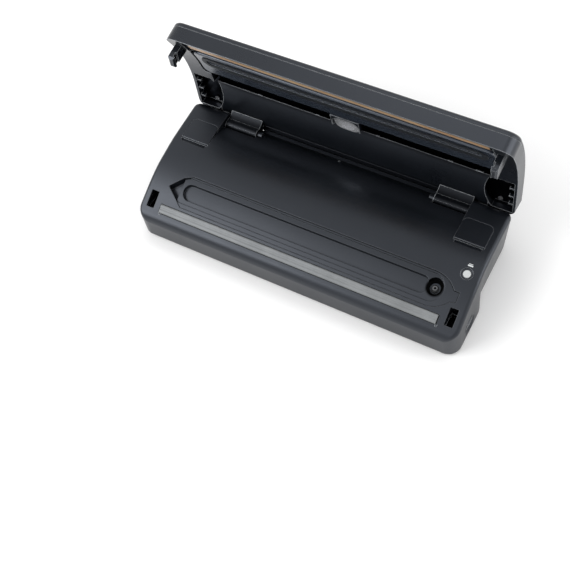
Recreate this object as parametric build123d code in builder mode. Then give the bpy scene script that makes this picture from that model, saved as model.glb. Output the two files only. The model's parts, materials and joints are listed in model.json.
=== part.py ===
"""Countertop vacuum sealer with its lid standing open.

Every piece is its own solid in parts/.  Millimetres, +X to the right along the length,
+Y to the back, +Z up.  The origin is under the middle of the base, on the worktop.
Pieces of the lid are drawn with the lid shut and then swung open about the hinge line.
"""
import os
from math import asin, cos, degrees, radians, sin, sqrt, tan

from build123d import *

os.makedirs("parts", exist_ok=True)

# ---- driving dimensions -------------------------------------------------------------
LENGTH = 370.0          # across the deck, end to end
DEPTH = 145.0           # front face to back face of the base
DECK_Z = 63.0           # level part of the deck above the worktop
FOOT_H = 3.0            # rubber feet
WALL = 2.4              # moulded wall
CREST_Y = 25.0          # where the deck starts to fall towards the front
CREST_R = 165.0         # radius of that fall
SLOPE = 25.0            # slope of the deck at the sealing strip, degrees
NOSE_R = 12.0           # roll from the deck into the front face
HINGE_DROP = 11.0       # hinge line below the level deck and in front of the back face
OPENING = 92.5          # lid travel, degrees
LID_GAP = 1.0           # lid rim above the deck when shut
LID_H = 22.0            # top of the lid above the deck
RIM_R = 4.0             # round on the deck's edge
FACE_TRIM = 0.05        # taken off the front and back faces to leave them flat

HALF = LENGTH / 2
FRONT_Y = -DEPTH / 2
BACK_Y = DEPTH / 2
HINGE_Y = BACK_Y - HINGE_DROP
HINGE_Z = DECK_Z - HINGE_DROP
HINGE = Axis((0, HINGE_Y, HINGE_Z), (1, 0, 0))
BASE_Z = FOOT_H                 # underside of the base
COVER_T = 2.5                   # bottom cover thickness
FLOOR_Z = BASE_Z + COVER_T      # inner floor
TALL = 100.0                    # more than the height of anything here
SLOPE_SIN = sin(radians(SLOPE))
SLOPE_COS = cos(radians(SLOPE))
FALL_Y = CREST_Y - CREST_R * SLOPE_SIN      # foot of the crest arc
FALL_Z = DECK_Z - CREST_R + CREST_R * SLOPE_COS

# plan of the base: the front swells for the release buttons, the back is waisted
FRONT_HALF = HALF + 1.5
REAR_HALF = HALF - 5.5
FLARE_TOP = 70.0                # height where the drafted walls are lofted to
FRONT_CORNER = 14.0
REAR_CORNER = 10.0
WAIST_FROM = -20.0
WAIST_TO = 8.0

# features on the deck
ROLL_X = 142.5                  # half width of the part that rolls down to the hinge
ROLL_R = 70.0
ROLL_END_Y = 69.0
STRIP_Y = -58.2                 # middle of the sealing strip
STRIP_L = 321.0
STRIP_W = 9.6
STRIP_PROUD = 1.7
GROOVE_DEPTH = 4.0
LATCH_X = 173.0                 # middle of each latch slot
LATCH_Y = -52.0
SLOT_W = 9.0
SLOT_L = 18.6
RECESS_DEPTH = 8.0
RECESS_BACK = -17.0
RECESS_FRONT = -50.5
NOZZLE = (146.0, -30.4)
BUTTON = (170.2, -9.5)          # canister button
BUTTON_R = 4.0
BUTTON_TRAVEL = 1.5
PAD_X = 159.0                   # middle of each deck pad
PAD_Y = 33.5
PAD_W = 33.0
PAD_L = 28.0
PAD_CORNER = 6.0
PAD_SEAT = 1.4                  # depth of the pad's seat in the deck
ARM_X = 123.0                   # middle of each hinge arm
ARM_W = 38.0
ARM_GAP = 0.5                   # side gap in the deck opening
PIN_R = 2.0
RELEASE_Y = -38.0               # side release buttons
RELEASE_Z = 16.5
RELEASE_L = 16.4
RELEASE_H = 9.0
RUN_GAP = 0.3                   # air round each button
SIDES = (-1, 1)


def deck_z(y):
    """Height of the deck at depth y, ahead of the roll to the hinge."""
    if y >= CREST_Y:
        return DECK_Z
    if y >= FALL_Y:
        return DECK_Z - CREST_R + sqrt(CREST_R**2 - (CREST_Y - y) ** 2)
    return FALL_Z - (FALL_Y - y) * SLOPE_SIN / SLOPE_COS


def deck_tilt(y):
    """Slope of the deck at depth y, in degrees."""
    if y >= CREST_Y:
        return 0.0
    return SLOPE if y <= FALL_Y else degrees(asin((CREST_Y - y) / CREST_R))


def deck_plane(x, y, rise=0.0):
    """Plane lying on the deck at (x, y), or `rise` above it."""
    tilt = radians(deck_tilt(y))
    normal = Vector(0, -sin(tilt), cos(tilt))
    return Plane(Vector(x, y, deck_z(y)) + normal * rise, x_dir=(1, 0, 0), z_dir=normal)


def deck_section(rise, low=-1.0, front=FRONT_Y, nose=NOSE_R, back_roll=True):
    """Side-view area under the deck line raised by `rise`, down to the height `low`."""
    radius = CREST_R + rise
    crest = (CREST_Y, DECK_Z + rise)
    fall = (CREST_Y - radius * SLOPE_SIN, DECK_Z - CREST_R + radius * SLOPE_COS)
    corner_z = fall[1] - (fall[0] - front) * SLOPE_SIN / SLOPE_COS
    reach = nose * tan(radians((90 - SLOPE) / 2))
    nose_low = (front, corner_z - reach)
    nose_high = (front + reach * SLOPE_COS, corner_z + reach * SLOPE_SIN)
    back = BACK_Y + rise
    with BuildSketch(Plane.YZ) as area:
        with BuildLine():
            Line((front, low), nose_low)
            TangentArc(nose_low, nose_high, tangent=(0, 1))
            Line(nose_high, fall)
            TangentArc(fall, crest, tangent=(SLOPE_COS, SLOPE_SIN))
            if back_roll:
                roll_top = (HINGE_Y, DECK_Z + rise)
                roll_end = (back, HINGE_Z)
                Line(crest, roll_top)
                TangentArc(roll_top, roll_end, tangent=(1, 0))
                Line(roll_end, (back, low))
            else:
                back = BACK_Y + TALL
                Line(crest, (back, DECK_Z + rise))
                Line((back, DECK_Z + rise), (back, low))
            Line((back, low), (front, low))
        make_face()
    return area.sketch


def base_outline(z, inset=0.0):
    """Plan of the base at height z: drafted, waisted walls, `inset` inside the outside."""
    lift = (z - BASE_Z) / (FLARE_TOP - BASE_Z)
    front_half = FRONT_HALF - inset - 1.6 * lift
    rear_half = REAR_HALF - inset + 6.3 * lift
    front = FRONT_Y + inset
    back = BACK_Y - inset
    front_r = FRONT_CORNER - inset
    rear_r = REAR_CORNER - inset
    middle = (WAIST_FROM + WAIST_TO) / 2
    with BuildSketch(Plane.XY.offset(z)) as area:
        with BuildLine():
            Line((0, front), (front_half - front_r, front))
            RadiusArc((front_half - front_r, front), (front_half, front + front_r), -front_r)
            Line((front_half, front + front_r), (front_half, WAIST_FROM))
            Bezier((front_half, WAIST_FROM), (front_half, middle), (rear_half, middle),
                   (rear_half, WAIST_TO))
            Line((rear_half, WAIST_TO), (rear_half, back - rear_r))
            RadiusArc((rear_half, back - rear_r), (rear_half - rear_r, back), -rear_r)
            Line((rear_half - rear_r, back), (0, back))
            mirror(about=Plane.YZ)
        make_face()
    return area.sketch


def deck_rim(part, corner=25.0):
    """Edges where the deck meets the end walls and corners of a housing."""
    def on_rim(edge):
        middle = edge @ 0.5
        across = edge @ 1 - edge @ 0
        upright = abs(across.Z) > 0.95 * across.length
        inside = abs(middle.X) < HALF - corner
        level = middle.Z > min(deck_z(middle.Y), HINGE_Z + 4) - 9
        return not upright and not inside and level and edge.length < LENGTH / 2
    return [edge for edge in part.edges() if on_rim(edge)]


def swing_open(part):
    """A piece drawn with the lid shut, turned to the open lid."""
    return part.rotate(HINGE, -OPENING)


def save(part, name):
    part.label = name
    export_step(part, f"parts/{name}.step")


def roll_section(drop):
    """Side view of what is cut away where the deck rolls down to the hinge."""
    radius = ROLL_R - drop
    centre_z = DECK_Z - ROLL_R
    end = (ROLL_END_Y, centre_z + sqrt(radius**2 - (ROLL_END_Y - CREST_Y) ** 2))
    with BuildSketch(Plane.YZ) as area:
        with BuildLine():
            start = (CREST_Y, DECK_Z - drop)
            TangentArc(start, end, tangent=(1, 0))
            Polyline(end, (TALL, end[1] - 0.5), (TALL, TALL), (CREST_Y, TALL), start)
        make_face()
    return area.sketch


def recess_outline(gap=0.0):
    """Plan of the vacuum chamber recess, with its pointed left end and right finger notch."""
    with BuildSketch() as area:
        with BuildLine():
            Polyline((-161, -34.5), (-148, -21.5), (-138, RECESS_BACK), (141, RECESS_BACK))
            TangentArc((141, RECESS_BACK), (165.5, -28.5), tangent=(1, 0))
            Polyline((165.5, -28.5), (171.5, -28.5), (171.5, -38.5), (165.5, -40.0))
            TangentArc((143, RECESS_FRONT), (165.5, -40.0), tangent=(1, 0))
            Polyline((143, RECESS_FRONT), (-140, RECESS_FRONT), (-161, -34.5))
        make_face()
        if gap:
            offset(amount=-gap)
    return area.sketch


def pad_plan(side, gap=0.0):
    """Plan of a deck pad, its two back corners rounded."""
    with BuildSketch() as area:
        with Locations((side * PAD_X, PAD_Y)):
            Rectangle(PAD_W - gap, PAD_L - gap)
        fillet(area.vertices().sort_by(Axis.Y)[-2:], PAD_CORNER)
    return area.sketch


BOSSES = [(-158.0, -62.0), (0.0, -62.0), (158.0, -62.0), (-168.0, 58.0), (0.0, 58.0), (168.0, 58.0)]
BOSS_R = 4.0
LUG_T = 5.0
LUG_OUT = ARM_W / 2 + ARM_GAP + LUG_T / 2       # middle of a lug from the middle of its arm
LUGS = [(ARM_X - LUG_OUT, 3.6), (ARM_X + LUG_OUT, 5.0)]     # place along X and radius


def cylinder_x(x, y, z, radius, length, mode=Mode.ADD):
    """Cylinder lying along X, centred on (x, y, z), for use inside a part."""
    with Locations(Location((x, y, z), (0, 90, 0))):
        Cylinder(radius, length, mode=mode)


# ---- base: what the housing leaves hollow -------------------------------------------
with BuildPart() as recess_cut:
    with BuildSketch(Plane.XY):
        add(recess_outline())
    extrude(amount=TALL)
    extrude(deck_section(-RECESS_DEPTH), amount=LENGTH, both=True, mode=Mode.SUBTRACT)

with BuildPart() as recess_shell:
    with BuildSketch(Plane.XY):
        add(recess_outline())
        offset(amount=WALL)
    extrude(amount=TALL)
    extrude(deck_section(-RECESS_DEPTH - WALL), amount=LENGTH, both=True, mode=Mode.SUBTRACT)

with BuildPart() as cavity:
    loft([base_outline(BASE_Z - 1, WALL), base_outline(FLARE_TOP, WALL)])
    extrude(deck_section(-WALL, 0, FRONT_Y + WALL, NOSE_R - WALL), amount=LENGTH, both=True,
            mode=Mode.INTERSECT)
    extrude(roll_section(WALL), amount=ROLL_X + WALL, both=True, mode=Mode.SUBTRACT)
    add(recess_shell.part, mode=Mode.SUBTRACT)
    # floor under the strip groove
    with BuildSketch(deck_plane(0, STRIP_Y, -GROOVE_DEPTH - WALL)):
        Rectangle(STRIP_L + 8, STRIP_W + 6)
    extrude(amount=20, mode=Mode.SUBTRACT)
    # thick pads behind the finger scoops
    for side in SIDES:
        with Locations((side * (HALF - 1), RELEASE_Y, FLOOR_Z + 0.1)):
            Box(11, 33, 26, align=(Align.CENTER, Align.CENTER, Align.MIN), mode=Mode.SUBTRACT)
    # screw bosses
    with Locations(*[(x, y, FLOOR_Z) for x, y in BOSSES]):
        Cylinder(BOSS_R, TALL, align=(Align.CENTER, Align.CENTER, Align.MIN), mode=Mode.SUBTRACT)
    # bearing lugs beside the hinge arms
    for side in SIDES:
        for x, _ in LUGS:
            with Locations((side * x, HINGE_Y + 2, HINGE_Z - 2)):
                Box(LUG_T, 17, 18, mode=Mode.SUBTRACT)

# ---- base housing -------------------------------------------------------------------
with BuildPart() as base_housing:
    loft([base_outline(BASE_Z), base_outline(FLARE_TOP)])
    extrude(deck_section(0), amount=LENGTH, both=True, mode=Mode.INTERSECT)
    fillet(deck_rim(base_housing.part), RIM_R)
    Box(2 * LENGTH, DEPTH - 2 * FACE_TRIM, 2 * TALL, mode=Mode.INTERSECT)
    extrude(roll_section(0), amount=ROLL_X, both=True, mode=Mode.SUBTRACT)
    for side in SIDES:
        for x, radius in LUGS:
            cylinder_x(side * x, HINGE_Y, HINGE_Z, radius, LUG_T)
    add(cavity.part, mode=Mode.SUBTRACT)
    add(recess_cut.part, mode=Mode.SUBTRACT)
    # groove for the sealing strip
    with BuildSketch(deck_plane(0, STRIP_Y, -GROOVE_DEPTH)):
        RectangleRounded(STRIP_L + 2, STRIP_W + 1, 1.2)
    extrude(amount=20, mode=Mode.SUBTRACT)
    # latch slots
    with BuildSketch(deck_plane(0, LATCH_Y)):
        with Locations((-LATCH_X, 0), (LATCH_X, 0)):
            RectangleRounded(SLOT_W, SLOT_L, 0.8)
    extrude(amount=6, both=True, mode=Mode.SUBTRACT)
    # deck pads, each with a dip in front of it
    for side in SIDES:
        with BuildSketch(Plane.XY.offset(DECK_Z - PAD_SEAT)):
            add(pad_plan(side))
        extrude(amount=5, mode=Mode.SUBTRACT)
        cylinder_x(side * PAD_X, PAD_Y - PAD_L / 2 + 1, DECK_Z + 5.4, 7.0, PAD_W - 4, Mode.SUBTRACT)
    # canister button hole in its countersunk ring
    with BuildSketch(deck_plane(*BUTTON)):
        Circle(BUTTON_R + 0.25)
    extrude(amount=8, both=True, mode=Mode.SUBTRACT)
    with BuildSketch(deck_plane(*BUTTON)):
        Circle(BUTTON_R + 2.2)
    extrude(amount=-1.0, taper=35, mode=Mode.SUBTRACT)
    # nozzle hole
    with Locations((*NOZZLE, deck_z(NOZZLE[1]) - RECESS_DEPTH)):
        Cylinder(4.0, 14, mode=Mode.SUBTRACT)
    for side in SIDES:
        # finger scoop, then the hole for the release button
        turn = 0 if side > 0 else 180
        with Locations(Location((side * (HALF + 23.2), RELEASE_Y, RELEASE_Z - 1), (0, 0, turn))):
            Sphere(25.0, mode=Mode.SUBTRACT)
        with BuildSketch(Plane.YZ.offset(side * (HALF - 14))):
            with Locations((RELEASE_Y, RELEASE_Z)):
                SlotOverall(RELEASE_L + 2 * RUN_GAP, RELEASE_H + 2 * RUN_GAP)
        extrude(amount=side * 20, mode=Mode.SUBTRACT)
        # opening for each hinge arm
        with Locations((side * ARM_X, HINGE_Y + 6, HINGE_Z + 2)):
            Box(ARM_W + 2 * ARM_GAP, 29.0, 18.4, mode=Mode.SUBTRACT)
    # hinge pin bores
    for side in SIDES:
        cylinder_x(side * ARM_X, HINGE_Y, HINGE_Z, PIN_R, ARM_W + 2 * LUG_T + 2, Mode.SUBTRACT)
    # blind screw holes in the bosses
    with Locations(*[(x, y, FLOOR_Z) for x, y in BOSSES]):
        Cylinder(1.4, 12, align=(Align.CENTER, Align.CENTER, Align.MIN), mode=Mode.SUBTRACT)
    # power inlet in the back wall, and air slits beside it
    with Locations((-140, BACK_Y, 24)):
        Box(22.4, 12, 14.4, mode=Mode.SUBTRACT)
    with Locations(*[(40 + 7 * i, BACK_Y, 22) for i in range(12)]):
        Box(3, 12, 20, mode=Mode.SUBTRACT)
save(base_housing.part, "base_housing")

# ---- base: cover, feet and screws ---------------------------------------------------
FEET = [(x, y) for x in (-140.0, 140.0) for y in (-54.0, 54.0)]
FOOT_R = 9.0
SEAT_DEPTH = 1.2
POST_TOP = 39.8                 # post under the canister switch
SPRING_BACK = 160.0             # posts behind the release springs
with BuildPart() as base_cover:
    with BuildSketch(Plane.XY.offset(BASE_Z)):
        add(base_outline(BASE_Z, WALL + 0.25))
    extrude(amount=COVER_T)
    # posts for the canister switch, the release springs and the circuit board
    with Locations((BUTTON[0], BUTTON[1], FLOOR_Z)):
        Box(8, 21, POST_TOP - FLOOR_Z, align=(Align.CENTER, Align.CENTER, Align.MIN))
    with Locations(*[(side * (SPRING_BACK - 2), RELEASE_Y, FLOOR_Z) for side in SIDES]):
        Box(4, 11, 18, align=(Align.CENTER, Align.CENTER, Align.MIN))
    with Locations(*[(x, y, FLOOR_Z) for x in (-26.0, 46.0) for y in (4.0, 49.0)]):
        Cylinder(2.5, 4.5, align=(Align.CENTER, Align.CENTER, Align.MIN))
    # screw holes, countersunk from below
    with Locations(*[Location((x, y, BASE_Z), (180, 0, 0)) for x, y in BOSSES]):
        CounterSinkHole(1.5, 3.2, 3 * COVER_T)
    # seats for the feet
    with Locations(*[(x, y, BASE_Z) for x, y in FEET]):
        Cylinder(FOOT_R + 0.05, 2 * SEAT_DEPTH, mode=Mode.SUBTRACT)
    # air slits under the transformer
    with Locations(*[(-50 + 6 * i, -28, BASE_Z + COVER_T / 2) for i in range(12)]):
        Box(2.6, 30, 2 * COVER_T, mode=Mode.SUBTRACT)
save(base_cover.part, "base_cover")

with BuildPart() as rubber_feet:
    for x, y in FEET:
        with Locations((x, y, 0)):
            Cylinder(FOOT_R, BASE_Z + SEAT_DEPTH, align=(Align.CENTER, Align.CENTER, Align.MIN))
    fillet(rubber_feet.edges().group_by(Axis.Z)[0], 1.0)
save(rubber_feet.part, "rubber_feet")


def screw(length, head_r=3.0, shank_r=1.35):
    """Countersunk screw pointing up, its head face at z = 0."""
    with BuildPart() as body:
        with BuildSketch(Plane.XZ):
            with BuildLine():
                Polyline((0, 0.1), (head_r, 0.1), (shank_r, 1.8), (shank_r, length - 1.5),
                         (0, length), (0, 0.1))
            make_face()
        revolve(axis=Axis.Z)
        with BuildSketch(Plane.XY.offset(0.1)):
            Rectangle(0.7, 3.4)
            Rectangle(3.4, 0.7)
        extrude(amount=0.8, mode=Mode.SUBTRACT)
    return body.part


with BuildPart() as base_screws:
    with Locations(*[(x, y, BASE_Z) for x, y in BOSSES]):
        add(screw(12.0))
save(base_screws.part, "base_screws")

# ---- sealing strip, tray and nozzle -------------------------------------------------
with BuildPart() as sealing_strip:
    with BuildSketch(deck_plane(0, STRIP_Y, STRIP_PROUD)):
        Rectangle(STRIP_L, STRIP_W)
    extrude(amount=-(STRIP_PROUD + GROOVE_DEPTH))
    fillet(sealing_strip.edges().filter_by(Axis.X).sort_by(Axis.Z)[-2:], 1.6)
    # long groove between the two ribs
    groove_centre = deck_plane(0, STRIP_Y, STRIP_PROUD + 2.6).origin
    cylinder_x(0, groove_centre.Y, groove_centre.Z, 3.0, STRIP_L + 2, Mode.SUBTRACT)
save(sealing_strip.part, "sealing_strip")


def under(rise, low=-5.0):
    """Side-view area under the deck line raised by `rise`, past both ends of the lid."""
    return deck_section(rise, low, -TALL, back_roll=False)


def below(plan, rise):
    """Everything over a plan area, up to `rise` above the deck line."""
    with BuildPart() as body:
        add(plan)
        extrude(amount=TALL)
        extrude(under(rise), amount=LENGTH, both=True, mode=Mode.INTERSECT)
    return body.part


def slab(plan, low, high):
    """The part of a plan area between two heights above the deck line."""
    with BuildPart() as body:
        add(below(plan, high))
        extrude(under(low, -9.0), amount=LENGTH, both=True, mode=Mode.SUBTRACT)
    return body.part


TRAY_GAP = 0.4
TRAY_TOP = -0.5                 # tray flange under the deck surface
TRAY_LOW = -RECESS_DEPTH + 0.2
CHANNEL_Y = -32.5
BOWL_R = 8.6
with BuildSketch() as tray_plan:
    add(recess_outline(TRAY_GAP))
    with Locations((17, -33)):
        RectangleRounded(328, 60, 9, mode=Mode.INTERSECT)
with BuildSketch() as channel_plan:
    with Locations((-2, CHANNEL_Y)):
        SlotOverall(284, 17)
    with Locations(NOZZLE):
        Circle(BOWL_R)
with BuildSketch() as shelf_plan:
    with Locations((0, CHANNEL_Y)):
        SlotOverall(312, 27)
with BuildPart() as drip_tray:
    add(slab(tray_plan.sketch, TRAY_LOW, TRAY_TOP))
    add(slab(shelf_plan.sketch, -2.2, 3.0), mode=Mode.SUBTRACT)
    add(slab(channel_plan.sketch, TRAY_LOW + 1.6, 3.0), mode=Mode.SUBTRACT)
    with Locations((*NOZZLE, 0)):
        Cylinder(5.5, TALL, align=(Align.CENTER, Align.CENTER, Align.MIN), mode=Mode.SUBTRACT)
save(drip_tray.part, "drip_tray")

NOZZLE_TOP = deck_z(NOZZLE[1]) - RECESS_DEPTH + 2.0
NOZZLE_END = 30.0
NOZZLE_R = 2.6
NOZZLE_BORE = 1.4
SEAL_R = 3.95
with BuildPart() as nozzle_grommet:
    with Locations((*NOZZLE, NOZZLE_TOP - 5.6)):
        Cylinder(SEAL_R, 7.0)
        Cylinder(NOZZLE_R, 8.0, mode=Mode.SUBTRACT)
save(nozzle_grommet.part, "nozzle_grommet")

with BuildPart() as vacuum_nozzle:
    with BuildSketch(Plane.XY.offset(NOZZLE_END)):
        with Locations(NOZZLE):
            Circle(NOZZLE_R)
            Circle(NOZZLE_BORE, mode=Mode.SUBTRACT)
    extrude(amount=NOZZLE_TOP - NOZZLE_END)
save(vacuum_nozzle.part, "vacuum_nozzle")

# ---- vacuum pump --------------------------------------------------------------------
PUMP_X = 95.0
PUMP_Y = 12.0
PUMP_Z = 22.0
PUMP_W = 30.0
PUMP_L = 30.0
MOTOR_R = 13.0
MOTOR_L = 38.0
PLATE_T = 2.0
PUMP_LOW = FLOOR_Z + 0.1 + PLATE_T
PORT_Z = 18.0
PORT_END_Y = PUMP_Y - PUMP_L / 2 - 9
MOTOR_X = PUMP_X + PUMP_W / 2 + MOTOR_L / 2
with BuildPart() as pump_body:
    with Locations((PUMP_X, PUMP_Y, PUMP_LOW)):
        Box(PUMP_W, PUMP_L, 30, align=(Align.CENTER, Align.CENTER, Align.MIN))
    fillet(pump_body.edges().filter_by(Axis.Z), 3.0)
    # valve head with its ribs, and the suction port
    with Locations((PUMP_X, PUMP_Y, PUMP_LOW + 30)):
        Box(PUMP_W - 6, PUMP_L - 6, 4, align=(Align.CENTER, Align.CENTER, Align.MIN))
    for i in range(4):
        with Locations((PUMP_X - 9 + 6 * i, PUMP_Y, PUMP_LOW + 34)):
            Box(2, PUMP_L - 8, 2, align=(Align.CENTER, Align.CENTER, Align.MIN))
    with Locations(Location((PUMP_X, PORT_END_Y, PORT_Z), (-90, 0, 0))):
        Cylinder(NOZZLE_R, 12, align=(Align.CENTER, Align.CENTER, Align.MIN))
        Cylinder(NOZZLE_BORE, 16, align=(Align.CENTER, Align.CENTER, Align.MIN), mode=Mode.SUBTRACT)
save(pump_body.part, "pump_body")

with BuildPart() as pump_motor:
    cylinder_x(MOTOR_X, PUMP_Y, PUMP_Z, MOTOR_R, MOTOR_L - 0.1)
    fillet(pump_motor.edges(), 1.5)
    cylinder_x(MOTOR_X + MOTOR_L / 2 + 1, PUMP_Y, PUMP_Z, 4.0, 3.0)
    for side in SIDES:
        with Locations((MOTOR_X + MOTOR_L / 2 + 2, PUMP_Y + side * 8, PUMP_Z)):
            Box(6, 0.8, 2.8)
save(pump_motor.part, "pump_motor")

with BuildPart() as pump_bracket:
    with Locations((PUMP_X + 17, PUMP_Y, FLOOR_Z + 0.1)):
        Box(72, 36, PLATE_T, align=(Align.CENTER, Align.CENTER, Align.MIN))
    for x in (MOTOR_X - 12, MOTOR_X + 12):
        with Locations((x, PUMP_Y, FLOOR_Z + 0.1)):
            Box(3, 32, 13, align=(Align.CENTER, Align.CENTER, Align.MIN))
    cylinder_x(MOTOR_X, PUMP_Y, PUMP_Z, MOTOR_R + 0.02, MOTOR_L + 8, Mode.SUBTRACT)
save(pump_bracket.part, "pump_bracket")

HOSE_R = 4.0
with BuildPart() as vacuum_hose:
    with BuildLine():
        FilletPolyline((NOZZLE[0], NOZZLE[1], NOZZLE_END + 4), (NOZZLE[0], NOZZLE[1], PORT_Z),
                       (PUMP_X, NOZZLE[1], PORT_Z), (PUMP_X, PORT_END_Y + 6, PORT_Z), radius=9)
    with BuildSketch(Plane((NOZZLE[0], NOZZLE[1], NOZZLE_END + 4), z_dir=(0, 0, -1))):
        Circle(HOSE_R)
        Circle(NOZZLE_R, mode=Mode.SUBTRACT)
    sweep()
save(vacuum_hose.part, "vacuum_hose")

# ---- transformer and electronics ----------------------------------------------------
CORE_X = -92.0
CORE_Y = 16.0
CORE_W = 56.0
CORE_D = 22.0
CORE_H = 44.0
LIMB = 9.0
with BuildPart() as transformer_core:
    with Locations((CORE_X, CORE_Y, FLOOR_Z + 0.1)):
        Box(CORE_W, CORE_D, CORE_H, align=(Align.CENTER, Align.CENTER, Align.MIN))
    for side in SIDES:
        with Locations((CORE_X + side * 13.75, CORE_Y, FLOOR_Z + 0.1 + CORE_H / 2)):
            Box(10, CORE_D + 2, CORE_H - 2 * LIMB, mode=Mode.SUBTRACT)
    # clamping frame feet
    for side in SIDES:
        with Locations((CORE_X + side * (CORE_W / 2 + 4), CORE_Y, FLOOR_Z + 0.1)):
            Box(8, CORE_D, 1.6, align=(Align.CENTER, Align.CENTER, Align.MIN))
save(transformer_core.part, "transformer_core")

with BuildPart() as transformer_coil:
    with Locations((CORE_X, CORE_Y, FLOOR_Z + 0.1 + CORE_H / 2)):
        Box(37, CORE_D + 18, CORE_H - 2 * LIMB - 0.4)
        fillet(transformer_coil.edges().filter_by(Axis.Z), 7.0)
        Box(17.6, CORE_D + 0.2, CORE_H, mode=Mode.SUBTRACT)
save(transformer_coil.part, "transformer_coil")

BOARD_Z = FLOOR_Z + 4.6
BOARD_T = 1.6
BOARD_X = 10.0
BOARD_Y = 26.5
with BuildPart() as control_board:
    with Locations((BOARD_X, BOARD_Y, BOARD_Z)):
        Box(80, 53, BOARD_T, align=(Align.CENTER, Align.CENTER, Align.MIN))
    fillet(control_board.edges().filter_by(Axis.Z), 2.0)
save(control_board.part, "control_board")

with BuildPart() as board_parts:
    top = BOARD_Z + BOARD_T + 0.02
    for x, y, width, depth, height in ((-12, 42, 19, 15, 15), (14, 42, 16, 12, 11),
                                       (36, 36, 14, 22, 9), (-16, 14, 10, 16, 10),
                                       (34, 10, 24, 8, 12)):
        with Locations((x, y, top)):
            Box(width, depth, height, align=(Align.CENTER, Align.CENTER, Align.MIN))
    for x, y, radius, height in ((0, 16, 6.3, 20), (12, 22, 4.0, 12), (12, 10, 4.0, 12)):
        with Locations((x, y, top)):
            Cylinder(radius, height, align=(Align.CENTER, Align.CENTER, Align.MIN))
save(board_parts.part, "board_parts")

INLET_X = -140.0
INLET_Z = 24.0
INLET_L = 22.0
INLET_H = 14.0
with BuildPart() as power_inlet:
    with BuildSketch(Plane.XZ.offset(-BACK_Y)):
        with Locations((INLET_X, INLET_Z)):
            RectangleRounded(INLET_L, INLET_H, 2.0)
    extrude(amount=22)
    with Locations((INLET_X, BACK_Y - WALL - 1.6, INLET_Z)):
        Box(INLET_L + 6, 2.4, INLET_H + 5)
    with BuildSketch(Plane.XZ.offset(-BACK_Y)):
        with Locations((INLET_X, INLET_Z)):
            SlotOverall(18, 9.4)
    extrude(amount=14, mode=Mode.SUBTRACT)
    for side in SIDES:
        with Locations(Location((INLET_X + side * 4.2, BACK_Y - 9, INLET_Z), (90, 0, 0))):
            Cylinder(1.2, 14)
save(power_inlet.part, "power_inlet")

# ---- canister button, switch and spring ---------------------------------------------
FLANGE_TOP = -WALL - 1.2
with BuildPart() as canister_button:
    with BuildSketch(deck_plane(*BUTTON, -0.2)):
        Circle(BUTTON_R)
    extrude(amount=-5)
    fillet(canister_button.edges().sort_by(Axis.Z)[-1], 0.7)
    with BuildSketch(deck_plane(*BUTTON, FLANGE_TOP)):
        Circle(BUTTON_R + 1.2)
    extrude(amount=-1)
    with BuildSketch(deck_plane(*BUTTON, -4)):
        Circle(1.4)
    extrude(amount=-3.4)
save(canister_button.part, "canister_button")


def spring(plane, length, radius, wire, turns):
    """Coil spring standing on a plane."""
    with BuildPart() as body:
        with BuildLine():
            coil = Helix(length / turns, length, radius)
        with BuildSketch(Plane(coil @ 0, z_dir=coil % 0)):
            Circle(wire)
        sweep()
    return body.part.moved(plane.location)


SWITCH_TOP = -9.6
SPRING_FREE = 3.5               # length with the button up; drawn pressed
save(spring(deck_plane(*BUTTON, SWITCH_TOP + 0.6), SPRING_FREE - BUTTON_TRAVEL, 2.5, 0.25, 3),
     "button_spring")

with BuildPart() as canister_switch:
    with Locations((BUTTON[0], BUTTON[1], POST_TOP + 0.02)):
        Box(6.5, 20, 14, align=(Align.CENTER, Align.CENTER, Align.MIN))
    with BuildSketch(deck_plane(*BUTTON, SWITCH_TOP)):
        Rectangle(30, 60)
    extrude(amount=30, mode=Mode.SUBTRACT)
save(canister_switch.part, "canister_switch")

# ---- deck pads, legend and hinge pins -----------------------------------------------
for side, name in ((-1, "left_deck_pad"), (1, "right_deck_pad")):
    with BuildPart() as deck_pad:
        with BuildSketch(Plane.XY.offset(DECK_Z - PAD_SEAT)):
            add(pad_plan(side, 0.4))
        extrude(amount=PAD_SEAT + 0.3)
        # stepped front edge
        with Locations((side * PAD_X, PAD_Y - PAD_L / 2, DECK_Z + 0.3)):
            Box(PAD_W, 4.4, 1.4, mode=Mode.SUBTRACT)
        fillet(deck_pad.edges().group_by(Axis.Z)[-1], 0.3)
    save(deck_pad.part, name)

LEGEND_Y = BUTTON[1] + 8.6
with BuildPart() as switch_legend:
    with BuildSketch(deck_plane(BUTTON[0], LEGEND_Y, 0.02)):
        RectangleRounded(5.4, 1.6, 0.3)
        with Locations((0, 1.7)):
            RectangleRounded(4.2, 0.7, 0.3)
    extrude(amount=0.12)
save(switch_legend.part, "switch_legend")

for side, name in ((-1, "left_hinge_pin"), (1, "right_hinge_pin")):
    with BuildPart() as hinge_pin:
        cylinder_x(side * ARM_X, HINGE_Y, HINGE_Z, PIN_R, ARM_W + 2 * LUG_T)
        chamfer(hinge_pin.edges(), 0.4)
    save(hinge_pin.part, name)

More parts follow.
